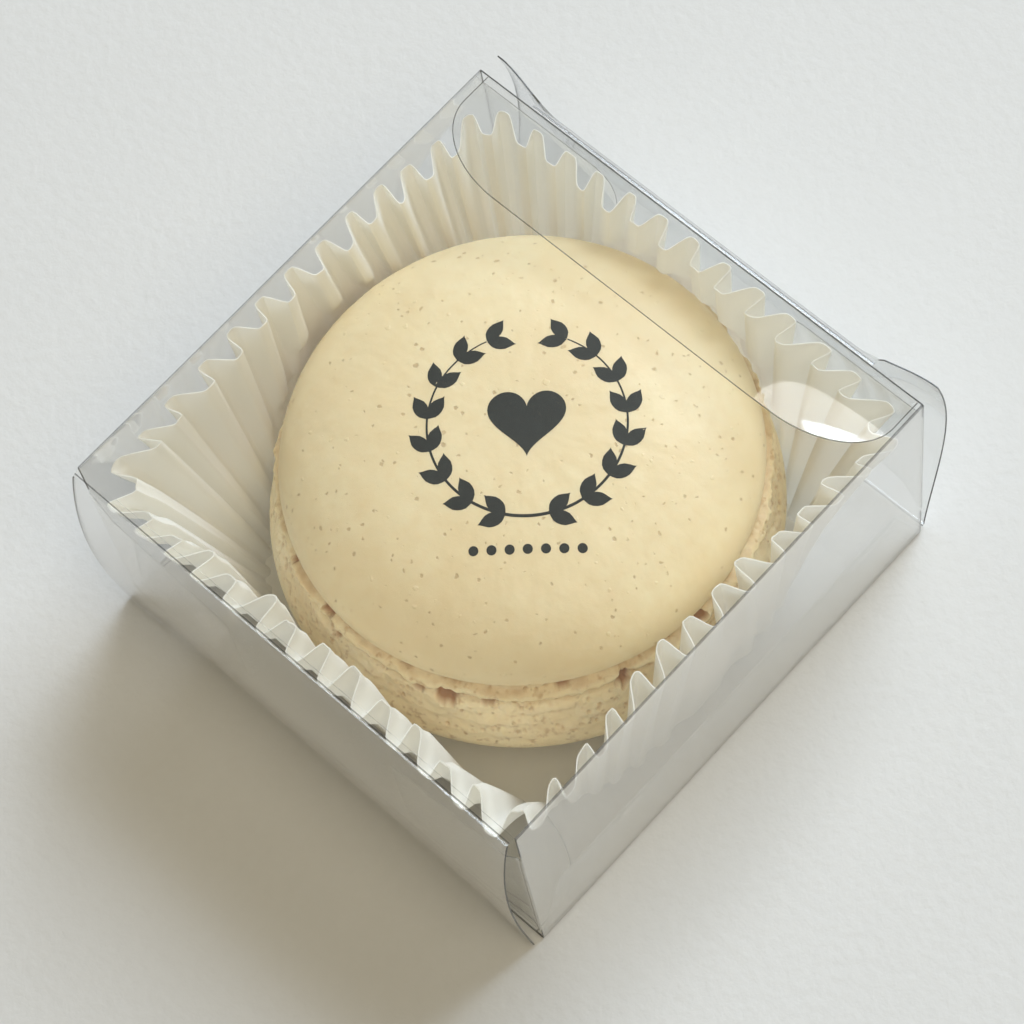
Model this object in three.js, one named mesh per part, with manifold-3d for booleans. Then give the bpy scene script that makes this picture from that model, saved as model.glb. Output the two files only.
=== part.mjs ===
// Macaron favour box: a shut carton of clear film lying on its side, with a pleated paper
// cup inside it and one macaron in the cup. Millimetres, +Z up, standing on z = 0.
// The carton's tube runs along X. Its front end is at +X and its rear end at -X.
import * as THREE from 'three';
import { mergeVertices } from 'three/addons/utils/BufferGeometryUtils.js';
import Module from 'manifold-3d';

// Carton, folded from one sheet of film
const boxSide = 50;
const boxHeight = 26.4;
const film = 0.25; // thickness of the sheet
const foldGap = 0.3; // clear space between two layers that fold against each other
const tubeCorner = 0.6; // outside radius of the tube's four long folds
const glueTab = { height: 8.8, chamfer: 3.3, bond: 0.05 };

// Flaps that shut one end. Heights are measured from the end panel's own fold.
const tuckFlap = {
  depth: 9,
  cornerDepth: 5.5,
  cornerWidth: 8.5,
  sideGap: 0.8,
  rootGap: 0.45, // room for its fold to turn
  coverGap: 0.4, // to the tube's panel that it tucks under
};
const dustFlap = {
  reach: 14.8, // from its fold towards the middle of the box
  foldEdge: 5.2,
  stepReach: 1.6,
  stepEdge: 8,
  freeEdge: 10.4,
  farEdge: 23.9,
  cornerRadius: 2.5,
};
const endPanel = { sideGap: 0.3, low: 0.1, high: 26.1, rows: 12, columns: 14, freeFrom: 14 };
const frontBow = { side: 2.7, middle: 2.2, rise: 1.25 }; // how far a shut end stands out
const rearBow = { side: 1.75, middle: 1.4, rise: 0.8 };
const sideWave = 0.83; // share of a half wave that the panel's free side edge makes

// Macaron: two shells with a thin filling between them
const shellSegments = 76;
const topShell = {
  x: 2.3, y: 0.45, radius: 20.8, foot: 21.2, seam: 15.5, rim: 17.8, pole: 24.9,
  // how far its foot stands out, at a share of the way from the seam to the rim, and how rough
  side: [[-0.35, 0.1, 1], [0, 0.4, 1], [-0.05, 0.7, 1], [-0.5, 0.93, 1]],
};
const bottomShell = {
  x: 1.9, y: 0.5, radius: 22.6, foot: 21.4, seam: 14.2, rim: 9, pole: 2,
  side: [[-0.25, 0.06, 1], [0, 0.2, 1], [0.45, 0.45, 0.7], [0.95, 0.75, 0.3]],
};
const filling = { x: 2.1, y: 0.5, radius: 20.5, low: 14.25, high: 15.45 };
const domeFullness = 2.6; // 2 is an ellipse, more is flatter with rounder shoulders
const footCrag = 0.3; // unevenness of the ruffled foot round each shell

// Pleated paper cup
const paper = 0.2;
const flutes = 52;
const pointsPerFlute = 4;
const cup = {
  floor: 1.5, // underside of its floor
  top: 25.3, // height of its edge half way along a wall
  cornerDrop: 3.4, // its edge hangs that much lower in a corner
  half: 24.45, // its edge fills a rounded square
  cornerRadius: 3.8,
  pleat: 2.3, // depth of a pleat at the top edge
  floorPleat: 0.5,
  leastPleat: 0.5, // where the macaron presses the pleats flat
  clearance: 0.2,
};
const cupFloor = { x: 0.3, y: -0.5, xRadius: 20.8, yRadius: 21, fullness: 3.2 };
const footReach = topShell.foot + footCrag + topShell.x - bottomShell.x;
const cupRings = [
  { z: cup.floor, macaron: 0 }, // the macaron's reach at that height, where it presses the cup
  { z: 7.4, macaron: bottomShell.radius },
  { z: 10.2, macaron: bottomShell.radius },
  { z: bottomShell.seam, macaron: footReach },
  { z: topShell.rim, macaron: footReach },
  { z: cup.top, macaron: 0 },
];

const tubeHalf = boxSide / 2 - film; // the tube is a little shorter than the shut carton
const wallFace = boxSide / 2 - film; // inner face of the two side walls
const dustPlane = tubeHalf + film / 2;
const panelPlane = tubeHalf + film + foldGap + film / 2;
const flapPlane = boxHeight - film - tuckFlap.coverGap - film / 2;

const wasm = await Module();
wasm.setup();

function toManifold(geometry) {
  geometry.deleteAttribute('normal');
  geometry.deleteAttribute('uv');
  const merged = mergeVertices(geometry, 1e-4);
  return new wasm.Manifold(new wasm.Mesh({
    numProp: 3,
    vertProperties: new Float32Array(merged.attributes.position.array),
    triVerts: new Uint32Array(merged.index.array),
  }));
}

function fromManifold(manifold) {
  const mesh = manifold.getMesh();
  const geometry = new THREE.BufferGeometry();
  geometry.setAttribute('position', new THREE.BufferAttribute(mesh.vertProperties, 3));
  geometry.setIndex(new THREE.BufferAttribute(mesh.triVerts, 1));
  geometry.computeVertexNormals();
  return geometry;
}

function geometryFrom(points, triangles) {
  const geometry = new THREE.BufferGeometry();
  geometry.setFromPoints(points);
  geometry.setIndex(triangles.flat());
  geometry.computeVertexNormals();
  return geometry;
}

// A closed skin over rings of points. A ring of one point is a pole and closes the skin.
function ringSolid(rings) {
  const firsts = [];
  let count = 0;
  for (const ring of rings) {
    firsts.push(count);
    count += ring.length;
  }
  const steps = Math.max(...rings.map((ring) => ring.length));
  const triangles = [];
  for (let i = 0; i + 1 < rings.length; i++) {
    for (let j = 0; j < steps; j++) {
      const near = (step) => firsts[i] + (step % rings[i].length);
      const far = (step) => firsts[i + 1] + (step % rings[i + 1].length);
      if (rings[i].length > 1) triangles.push([near(j), near(j + 1), far(j)]);
      if (rings[i + 1].length > 1) triangles.push([near(j + 1), far(j + 1), far(j)]);
    }
  }
  return geometryFrom(rings.flat(), triangles);
}

// A thin solid between two grids of points, front and back, joined along their four edges.
function sheetSolid(rows, columns, front, back) {
  const points = [];
  for (const side of [front, back]) {
    for (let i = 0; i <= rows; i++) {
      for (let j = 0; j <= columns; j++) points.push(side(i / rows, j / columns));
    }
  }
  const at = (side, i, j) => side * (rows + 1) * (columns + 1) + i * (columns + 1) + j;
  const triangles = [];
  const quad = (a, b, c, d) => triangles.push([a, b, c], [a, c, d]);
  for (let i = 0; i < rows; i++) {
    for (let j = 0; j < columns; j++) {
      quad(at(0, i, j), at(0, i, j + 1), at(0, i + 1, j + 1), at(0, i + 1, j));
      quad(at(1, i, j), at(1, i + 1, j), at(1, i + 1, j + 1), at(1, i, j + 1));
    }
    quad(at(0, i, 0), at(0, i + 1, 0), at(1, i + 1, 0), at(1, i, 0));
    quad(at(0, i, columns), at(1, i, columns), at(1, i + 1, columns), at(0, i + 1, columns));
  }
  for (let j = 0; j < columns; j++) {
    quad(at(0, 0, j), at(1, 0, j), at(1, 0, j + 1), at(0, 0, j + 1));
    quad(at(0, rows, j), at(0, rows, j + 1), at(1, rows, j + 1), at(1, rows, j));
  }
  return geometryFrom(points, triangles);
}

const box = new THREE.Group();

function addMesh(parent, name, geometry, color, roughness, opacity = 1) {
  const material = new THREE.MeshStandardMaterial({ color, roughness, metalness: 0, opacity });
  material.transparent = opacity < 1;
  const mesh = new THREE.Mesh(geometry, material);
  mesh.name = name;
  parent.add(mesh);
  return mesh;
}

const addFilm = (parent, name, geometry) => addMesh(parent, name, geometry, 0xe4e7e8, 0.08, 0.25);

// Tube of the carton: a folded ring of film, closed by the tab glued inside its -Y wall

function foldedOutline(target, halfWidth, low, high, radius) {
  target.moveTo(-halfWidth + radius, low);
  target.lineTo(halfWidth - radius, low);
  target.absarc(halfWidth - radius, low + radius, radius, -Math.PI / 2, 0);
  target.lineTo(halfWidth, high - radius);
  target.absarc(halfWidth - radius, high - radius, radius, 0, Math.PI / 2);
  target.lineTo(-halfWidth + radius, high);
  target.absarc(-halfWidth + radius, high - radius, radius, Math.PI / 2, Math.PI);
  target.lineTo(-halfWidth, low + radius);
  target.absarc(-halfWidth + radius, low + radius, radius, Math.PI, Math.PI * 1.5);
  return target;
}

function makeSleeve() {
  const section = foldedOutline(new THREE.Shape(), boxSide / 2, 0, boxHeight, tubeCorner);
  const inside = foldedOutline(new THREE.Path(), wallFace, film, boxHeight - film, tubeCorner - film);
  section.holes.push(inside);
  const tube = new THREE.ExtrudeGeometry(section, {
    depth: 2 * tubeHalf, bevelEnabled: false, curveSegments: 3,
  });
  tube.rotateX(Math.PI / 2).rotateZ(Math.PI / 2).translate(-tubeHalf, 0, 0);

  const outline = new THREE.Shape();
  outline.moveTo(-tubeHalf, film / 2);
  outline.lineTo(tubeHalf, film / 2);
  outline.lineTo(tubeHalf - glueTab.chamfer, glueTab.height);
  outline.lineTo(-tubeHalf + glueTab.chamfer, glueTab.height);
  const tab = new THREE.ExtrudeGeometry(outline, {
    depth: film + glueTab.bond, bevelEnabled: false,
  });
  tab.rotateX(Math.PI / 2).translate(0, -wallFace + film, 0);
  return fromManifold(toManifold(tube).add(toManifold(tab)));
}

addFilm(box, 'sleeve', makeSleeve());

// Flaps of one end, drawn for the front end. The rear end is the same turned half round
// about Y, so its end panel folds down from the tube's top and its tuck flap is at the floor.

function makeEndPanel(bow) {
  const halfWidth = boxSide / 2 - endPanel.sideGap;
  const face = (offset) => (u, v) => {
    const y = (2 * v - 1) * halfWidth;
    const z = THREE.MathUtils.lerp(endPanel.low, endPanel.high, u);
    const middle = bow.middle * Math.sin(Math.PI * u);
    const side = bow.side * Math.sin(Math.PI * sideWave * u ** bow.rise);
    const freeness = THREE.MathUtils.smoothstep(Math.abs(y), endPanel.freeFrom, halfWidth);
    return new THREE.Vector3(panelPlane + offset + THREE.MathUtils.lerp(middle, side, freeness), y, z);
  };
  return sheetSolid(endPanel.rows, endPanel.columns, face(film / 2), face(-film / 2));
}

function makeTuckFlap() {
  const root = panelPlane - film / 2 - tuckFlap.rootGap;
  const tip = panelPlane - tuckFlap.depth;
  const half = boxSide / 2 - tuckFlap.sideGap;
  const { cornerDepth, cornerWidth } = tuckFlap;
  const outline = new THREE.Shape();
  outline.moveTo(root, -half);
  outline.lineTo(root, half);
  outline.lineTo(tip + cornerDepth, half);
  outline.absellipse(tip + cornerDepth, half - cornerWidth, cornerDepth, cornerWidth,
    Math.PI / 2, Math.PI);
  outline.lineTo(tip, -half + cornerWidth);
  outline.absellipse(tip + cornerDepth, -half + cornerWidth, cornerDepth, cornerWidth,
    Math.PI, Math.PI * 1.5);
  const flap = new THREE.ExtrudeGeometry(outline, {
    depth: film, bevelEnabled: false, curveSegments: 6,
  });
  return flap.translate(0, 0, flapPlane - film / 2);
}

function makeDustFlap(side) {
  const fold = wallFace - foldGap;
  const { reach, stepReach, foldEdge, stepEdge, freeEdge, farEdge, cornerRadius } = dustFlap;
  const outline = new THREE.Shape();
  outline.moveTo(0, foldEdge);
  outline.lineTo(stepReach, stepEdge);
  outline.lineTo(reach, freeEdge);
  outline.lineTo(reach, farEdge - cornerRadius);
  outline.absarc(reach - cornerRadius, farEdge - cornerRadius, cornerRadius, 0, Math.PI / 2);
  outline.lineTo(0, farEdge);
  const flap = new THREE.ExtrudeGeometry(outline, {
    depth: film, bevelEnabled: false, curveSegments: 5,
  });
  flap.rotateX(Math.PI / 2).rotateZ(-side * Math.PI / 2);
  return flap.translate(dustPlane - side * film / 2, side * fold, 0);
}

function addEnd(name, bow) {
  const end = new THREE.Group();
  addFilm(end, `${name}_end_panel`, makeEndPanel(bow));
  addFilm(end, `${name}_tuck_flap`, makeTuckFlap());
  addFilm(end, `${name}_dust_flap_left`, makeDustFlap(1));
  addFilm(end, `${name}_dust_flap_right`, makeDustFlap(-1));
  box.add(end);
  return end;
}

addEnd('front', frontBow);
const rearEnd = addEnd('rear', rearBow);
rearEnd.rotation.y = Math.PI;
rearEnd.position.z = boxHeight;

// Macaron

// Ruffles round a shell's foot: three waves of uneven pitch, from -1 to 1
function ruffle(angle, height) {
  const coarse = Math.sin(11 * angle + 0.9 * height);
  const fine = Math.sin(19 * angle - 1.4 * height + 2);
  const slow = Math.sin(5 * angle + 1.1);
  return 0.45 * coarse + 0.35 * fine + 0.2 * slow;
}

// Radius of a shell's dome at a share of its height above the rim
const domeRadius = (shell, share) => shell.radius * (1 - share ** 2) ** (1 / domeFullness);

function makeShell(shell, domeSteps) {
  const up = Math.sign(shell.pole - shell.rim);
  const footHeight = Math.abs(shell.rim - shell.seam);
  const profile = [[0, shell.seam, 0], [shell.foot - 1.6, shell.seam, 0.4]];
  for (const [out, share, rough] of shell.side) {
    profile.push([shell.foot + out, shell.seam + up * share * footHeight, rough]);
  }
  for (let k = 0; k < domeSteps; k++) {
    const share = Math.sin((k / domeSteps) * Math.PI / 2);
    profile.push([domeRadius(shell, share), THREE.MathUtils.lerp(shell.rim, shell.pole, share), 0]);
  }
  profile.push([0, shell.pole, 0]);
  const rings = profile.map(([radius, z, rough]) => {
    if (radius === 0) return [new THREE.Vector3(shell.x, shell.y, z)];
    const ring = [];
    for (let j = 0; j < shellSegments; j++) {
      const angle = (up * j * 2 * Math.PI) / shellSegments;
      const r = radius + footCrag * rough * ruffle(angle, z);
      ring.push(new THREE.Vector3(shell.x + r * Math.cos(angle), shell.y + r * Math.sin(angle), z));
    }
    return ring;
  });
  return ringSolid(rings);
}

function makeFilling() {
  const ring = (z) => {
    const points = [];
    for (let j = 0; j < shellSegments; j++) {
      const angle = (j * 2 * Math.PI) / shellSegments;
      const r = filling.radius + footCrag * ruffle(angle, filling.low);
      points.push(new THREE.Vector3(filling.x + r * Math.cos(angle), filling.y + r * Math.sin(angle), z));
    }
    return points;
  };
  const centre = (z) => [new THREE.Vector3(filling.x, filling.y, z)];
  return ringSolid([centre(filling.low), ring(filling.low), ring(filling.high), centre(filling.high)]);
}

addMesh(box, 'bottom_shell', makeShell(bottomShell, 11), 0xe3d2a4, 0.75);
addMesh(box, 'filling', makeFilling(), 0xb98a5c, 0.7);
addMesh(box, 'top_shell', makeShell(topShell, 12), 0xf0e4be, 0.7);

// Paper cup: its wall leans out from the floor to a rounded square at the top, and is pushed
// further out where the macaron is wider than that

// Point at a share of the way round a rounded square, from the middle of its +X side
function aroundTop(share) {
  const { half, cornerRadius: radius } = cup;
  const flat = half - radius;
  const arc = (Math.PI / 2) * radius;
  const legs = [flat, arc, 2 * flat, arc, 2 * flat, arc, 2 * flat, arc, flat];
  let along = share * legs.reduce((sum, leg) => sum + leg, 0);
  let leg = 0;
  while (leg < legs.length - 1 && along > legs[leg]) along -= legs[leg++];
  const turn = Math.floor((leg + 1) / 2) * (Math.PI / 2);
  if (leg % 2 === 1) {
    const signs = [[1, 1], [-1, 1], [-1, -1], [1, -1]][(leg - 1) / 2];
    const angle = turn - Math.PI / 2 + along / radius;
    return new THREE.Vector2(
      signs[0] * flat + radius * Math.cos(angle),
      signs[1] * flat + radius * Math.sin(angle),
    );
  }
  if (leg === 0) return new THREE.Vector2(half, along);
  if (leg === 2) return new THREE.Vector2(flat - along, half);
  if (leg === 4) return new THREE.Vector2(-half, flat - along);
  if (leg === 6) return new THREE.Vector2(-flat + along, -half);
  return new THREE.Vector2(half, -flat + along);
}

// The floor is round with its four sides flattened
function aroundFloor(share) {
  const angle = share * 2 * Math.PI;
  const bulge = (wave) => Math.sign(wave) * Math.abs(wave) ** (2 / cupFloor.fullness);
  return new THREE.Vector2(
    cupFloor.x + cupFloor.xRadius * bulge(Math.cos(angle)),
    cupFloor.y + cupFloor.yRadius * bulge(Math.sin(angle)),
  );
}

// Point on the cup's wall: share goes round, and pleated is 1 at a pleat's outer fold and 0
// at its inner fold
function cupWall(share, { z, macaron }, pleated, thickness) {
  const level = (z - cup.floor) / (cup.top - cup.floor);
  const edge = aroundTop(share);
  const cornerness = (edge.length() / cup.half - 1) / (Math.SQRT2 - 1);
  const leaning = aroundFloor(share).lerp(edge, level);
  const centre = new THREE.Vector2(bottomShell.x, bottomShell.y);
  const away = leaning.sub(centre);
  const keepOut = macaron + cup.clearance + paper;
  const outer = Math.max(away.length(), keepOut + cup.leastPleat);
  const depth = Math.min(THREE.MathUtils.lerp(cup.floorPleat, cup.pleat, level), outer - keepOut);
  away.setLength(outer - depth * (1 - pleated) - thickness);
  const sunk = cup.cornerDrop * cornerness * level ** 2;
  return new THREE.Vector3(centre.x + away.x, centre.y + away.y, z - sunk);
}

function makeCup() {
  const count = flutes * pointsPerFlute;
  const wallRing = (ring, thickness, lift = 0) => {
    const points = [];
    for (let j = 0; j < count; j++) {
      const phase = (j % pointsPerFlute) / pointsPerFlute;
      points.push(cupWall(j / count, ring, Math.abs(2 * phase - 1), thickness));
      points[j].z += lift;
    }
    return points;
  };
  const pole = (z) => [new THREE.Vector3(cupFloor.x, cupFloor.y, z)];
  return ringSolid([
    pole(cup.floor),
    ...cupRings.map((ring) => wallRing(ring, 0)),
    ...cupRings.slice(1).reverse().map((ring) => wallRing(ring, paper)),
    wallRing(cupRings[0], paper, paper),
    pole(cup.floor + paper),
  ]);
}

addMesh(box, 'liner', makeCup(), 0xe9e4d2, 0.6);

// The origin is the middle of the shut carton's footprint, between its two bowed ends
box.position.x = (rearBow.side - frontBow.side) / 2;

export default box;
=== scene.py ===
import math
import random

import bpy
from mathutils import Matrix, Vector, noise


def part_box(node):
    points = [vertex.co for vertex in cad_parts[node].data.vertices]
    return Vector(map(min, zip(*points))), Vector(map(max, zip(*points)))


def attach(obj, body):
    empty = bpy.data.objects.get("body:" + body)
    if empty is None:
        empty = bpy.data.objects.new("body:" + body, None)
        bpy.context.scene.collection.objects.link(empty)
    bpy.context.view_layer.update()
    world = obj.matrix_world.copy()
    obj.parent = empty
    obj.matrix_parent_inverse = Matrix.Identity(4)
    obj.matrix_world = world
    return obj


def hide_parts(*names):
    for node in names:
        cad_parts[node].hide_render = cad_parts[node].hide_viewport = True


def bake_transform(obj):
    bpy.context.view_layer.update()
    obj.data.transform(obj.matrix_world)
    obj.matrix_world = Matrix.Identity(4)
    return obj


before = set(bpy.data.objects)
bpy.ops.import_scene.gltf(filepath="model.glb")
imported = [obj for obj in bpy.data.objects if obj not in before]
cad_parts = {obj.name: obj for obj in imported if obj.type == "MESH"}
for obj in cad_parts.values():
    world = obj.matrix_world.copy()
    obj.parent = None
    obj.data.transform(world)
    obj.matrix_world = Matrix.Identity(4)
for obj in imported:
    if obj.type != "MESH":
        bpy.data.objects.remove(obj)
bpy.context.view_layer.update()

mm = 0.001
tubeLow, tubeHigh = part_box("sleeve")
boxHeight = tubeHigh.z
middleX = (tubeLow.x + tubeHigh.x) / 2  # the carton's tube is centred here
scene = bpy.context.scene


# Small helpers

def lerp(a, b, share):
    return a + (b - a) * share


def smooth(value, low, high):
    share = min(1, max(0, (value - low) / (high - low)))
    return share * share * (3 - 2 * share)


def tone(red, green, blue):  # a screen colour, 0 to 255, as the shader's linear one
    linear = [((c / 255 + 0.055) / 1.055) ** 2.4 for c in (red, green, blue)]
    return (*linear, 1)


def startClean():
    if bpy.context.object and bpy.context.object.mode != "OBJECT":
        bpy.ops.object.mode_set(mode="OBJECT")
    bpy.ops.object.select_all(action="DESELECT")


def newest(name):
    piece = bpy.context.object
    piece.name = name
    piece.data.name = name
    return piece


def pick(piece, kind, test):  # selects vertices, edges or faces by a test and opens edit mode
    bpy.ops.object.mode_set(mode="EDIT")
    bpy.ops.mesh.select_mode(type=kind)
    bpy.ops.mesh.select_all(action="DESELECT")
    bpy.ops.object.mode_set(mode="OBJECT")
    mesh = piece.data
    for element in {"VERT": mesh.vertices, "EDGE": mesh.edges, "FACE": mesh.polygons}[kind]:
        element.select = test(element)
    bpy.ops.object.mode_set(mode="EDIT")


def modify(piece, kind, **settings):  # adds one modifier and applies it
    startClean()
    piece.select_set(True)
    bpy.context.view_layer.objects.active = piece
    modifier = piece.modifiers.new(kind.title(), kind)
    for name, value in settings.items():
        setattr(modifier, name, value)
    bpy.ops.object.modifier_apply(modifier=modifier.name)


def weld(piece, outward=False):
    bpy.ops.object.mode_set(mode="EDIT")
    bpy.ops.mesh.select_all(action="SELECT")
    bpy.ops.mesh.remove_doubles(threshold=0.0005 * mm)
    if outward:
        bpy.ops.mesh.normals_make_consistent(inside=False)
    bpy.ops.object.mode_set(mode="OBJECT")


def layGrid(name, rows, columns, place):  # a grid laid on the form that place(up, along) gives
    startClean()
    bpy.ops.mesh.primitive_grid_add(x_subdivisions=columns, y_subdivisions=rows, size=1)
    piece = newest(name)
    for vertex in piece.data.vertices:
        vertex.co = place(vertex.co.y + 0.5, vertex.co.x + 0.5)
    return piece


def finishPiece(piece, materials, body=None, nodes=(), crease=40):
    for material in materials:
        piece.data.materials.append(material)
    startClean()
    piece.select_set(True)
    bpy.context.view_layer.objects.active = piece
    bpy.ops.object.shade_smooth_by_angle(angle=math.radians(crease))
    if body:
        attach(piece, body)
    if nodes:
        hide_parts(*nodes)
    return piece


# Shader wires

class Wire:  # one output of a material's nodes: sums with wires and numbers add Math nodes
    def __init__(self, tree, socket=None):
        self.tree = tree
        self.socket = socket

    def add(self, kind, settings=None, inputs=None, output=0):
        node = self.tree.nodes.new("ShaderNode" + kind)
        for name, value in (settings or {}).items():
            if name == "stops":
                ends = node.color_ramp.elements
                for element, (place, colour) in ((ends[1], value[-1]), (ends[0], value[0])):
                    element.position = place
                    element.color = colour
                for place, colour in value[1:-1]:
                    ends.new(place).color = colour
            else:
                setattr(node, name, value)
        for name, value in (inputs or {}).items():
            if isinstance(value, Wire):
                self.tree.links.new(value.socket, node.inputs[name])
            else:
                node.inputs[name].default_value = value
        return Wire(self.tree, node.outputs[output]) if node.outputs else None

    def maths(self, operation, *values):
        return self.add("Math", {"operation": operation}, dict(enumerate(values)))

    def mixed(self, colour, other, share):  # this colour and another, by share
        return self.add("Mix", {"data_type": "RGBA"}, {0: share, 6: colour, 7: other}, 2)

    def __add__(self, other):
        return self.maths("ADD", self, other)

    def __sub__(self, other):
        return self.maths("SUBTRACT", self, other)

    def __rsub__(self, other):
        return self.maths("SUBTRACT", other, self)

    def __mul__(self, other):
        return self.maths("MULTIPLY", self, other)

    def __pow__(self, other):
        return self.maths("POWER", self, other)

    __radd__ = __add__
    __rmul__ = __mul__


def newMaterial(name):
    material = bpy.data.materials.new(name)
    material.use_nodes = True
    material.node_tree.nodes.clear()
    return material, Wire(material.node_tree)


def surface(wire, shader):
    wire.add("OutputMaterial", None, {"Surface": shader})


# Studio: floor, lights and the camera

studio = {
    "floorSize": 4.0,
    "floorDrop": 0.02 * mm,
    "floorColour": tone(204, 204, 203), "floorPale": tone(210, 210, 209),
    "keyFrom": (0.80, 0.10, 0.72),  # towards the window light, from the box
    "keyAway": 2.8,
    "keySize": 1.74,
    "keyPower": 94,
    "keyColour": (0.756, 0.868, 1.0),
    "sideFrom": (-0.10, -0.42, 0.90),  # weaker light from the room, above the camera
    "sidePower": 29,
    "sideColour": (1.0, 0.895, 0.68),
    "fillColour": (1.0, 0.871, 0.615),
    "fillStrength": 0.20,
    "glareAt": (17 * mm, -17.5 * mm, 25.9 * mm),  # the corner of the tuck flap that mirrors a lamp
    "glareLean": (0.075, 0.033, 1),
    "glareAway": 1.0,
    "glares": ((0.22, 0.5), (0.11, 0.12)),  # size and power of two lamps, one inside the other
}
cameraSettings = {
    "place": (-76.143 * mm, -105.935 * mm, 299.317 * mm),
    "look": (0.23856, 0.33511, -0.91148),
    "up": (0.69824, 0.59313, 0.40082),
    "lens": 128.63,
    "sensor": 36,
}


def floorMaterial():
    material, wire = newMaterial("paleTable")
    place = wire.add("TexCoord", output="Object")
    grain = wire.add("TexNoise", None, {"Vector": place, "Scale": 900, "Detail": 3})
    cloud = wire.add("TexNoise", None, {"Vector": place, "Scale": 60, "Detail": 2})
    share = grain * 0.5 + cloud * 0.5
    colour = wire.mixed(studio["floorColour"], studio["floorPale"], share)
    bump = wire.add("Bump", None, {"Height": grain, "Strength": 0.5, "Distance": 0.14 * mm})
    surface(wire, wire.add("BsdfPrincipled", None, {
        "Base Color": colour, "Roughness": 0.75, "Normal": bump}))
    return material


def makeFloor():
    startClean()
    bpy.ops.mesh.primitive_plane_add(size=studio["floorSize"], location=(0, 0, -studio["floorDrop"]))
    floor = newest("floor")
    bpy.ops.object.transform_apply(location=True)
    floor.data.materials.append(floorMaterial())


def makeLight(name, towards, away, size, power, colour, shape="SQUARE", centre=(0, 0, 0)):
    data = bpy.data.lights.new(name, "AREA")
    data.shape = shape
    data.size = size
    data.energy = power
    data.color = colour
    lamp = bpy.data.objects.new(name, data)
    scene.collection.objects.link(lamp)
    direction = Vector(towards).normalized()
    lamp.location = Vector(centre) + direction * away
    lamp.rotation_euler = direction.to_track_quat("Z", "Y").to_euler()


def makeStudio():
    print("studio")
    makeFloor()
    makeLight("windowLight", studio["keyFrom"], studio["keyAway"], studio["keySize"],
              studio["keyPower"], studio["keyColour"])
    makeLight("roomLight", studio["sideFrom"], studio["keyAway"], studio["keySize"],
              studio["sidePower"], studio["sideColour"])
    seen = Vector(studio["glareAt"]) - Vector(cameraSettings["place"])
    mirrored = seen.reflect(Vector(studio["glareLean"]).normalized())
    for size, power in studio["glares"]:
        makeLight("glareLamp", mirrored, studio["glareAway"], size, power, (1, 1, 1),
                  "DISK", studio["glareAt"])
    world = bpy.data.worlds.new("softRoom")
    world.use_nodes = True
    background = world.node_tree.nodes["Background"]
    background.inputs["Color"].default_value = (*studio["fillColour"], 1)
    background.inputs["Strength"].default_value = studio["fillStrength"]
    scene.world = world
    scene.view_settings.view_transform = "Standard"
    scene.cycles.transparent_max_bounces = 40  # many layers of clear film lie over each other
    scene.cycles.max_bounces = 16
    scene.cycles.diffuse_bounces = 10
    scene.cycles.transmission_bounces = 8


def makeCamera():
    print("camera")
    data = bpy.data.cameras.new("camera")
    data.lens = cameraSettings["lens"]
    data.sensor_width = cameraSettings["sensor"]
    data.clip_start = 0.01
    camera = bpy.data.objects.new("camera", data)
    scene.collection.objects.link(camera)
    look = Vector(cameraSettings["look"]).normalized()
    side = look.cross(Vector(cameraSettings["up"])).normalized()
    turn = Matrix((side, side.cross(look), -look)).transposed().to_4x4()
    camera.matrix_world = Matrix.Translation(cameraSettings["place"]) @ turn
    scene.camera = camera


# Clear film

filmSettings = {
    "thick": 0.15 * mm, "bead": 0.07 * mm, "fineBead": 0.045 * mm, "faintBead": 0.02 * mm,
    "clear": (0.994, 0.995, 0.993, 1),
    "haze": 0.004, "scuffs": 0.02,
    "tabShine": 0.04, "glue": 0.3, "glueHigh": 7.7 * mm, "glueWide": 1.0 * mm,
    "milky": 0.5,  # haze added where it is seen at a low angle
    "gloss": 0.03,
    "mirror": 0.04,  # share reflected when looked at straight on
}


def mirrorShare(wire, straight):
    facing = wire.add("LayerWeight", None, {"Blend": 0.5}, "Facing")
    return facing ** 3.5 * (1 - straight) + straight


def filmMaterial(name, gloss, extra=None):
    material, wire = newMaterial(name)
    place = wire.add("TexCoord", output="Object")
    cloud = wire.add("TexNoise", None, {"Vector": place, "Scale": 90, "Detail": 5})
    wave = wire.add("TexNoise", None, {"Vector": place, "Scale": 55, "Detail": 1})
    bump = wire.add("Bump", None, {"Height": wave, "Strength": 0.2, "Distance": 0.4 * mm})
    clear = wire.add("BsdfTransparent", None, {"Color": filmSettings["clear"]})
    dusty = wire.add("BsdfPrincipled", None, {"Base Color": (0.92, 0.92, 0.92, 1), "Roughness": 0.6})
    facing = wire.add("LayerWeight", None, {"Blend": 0.5}, "Facing")
    haze = cloud * filmSettings["scuffs"] + facing ** 4 * filmSettings["milky"] + filmSettings["haze"]
    hazy = wire.add("MixShader", None, {0: haze, 1: clear, 2: dusty})
    glossy = wire.add("BsdfGlossy", None, {
        "Color": (1, 1, 1, 1), "Roughness": gloss, "Normal": bump})
    share = mirrorShare(wire, filmSettings["mirror"])
    if extra:
        share = share + extra(wire, place)
    surface(wire, wire.add("MixShader", None, {0: share, 1: hazy, 2: glossy}))
    return material


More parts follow.
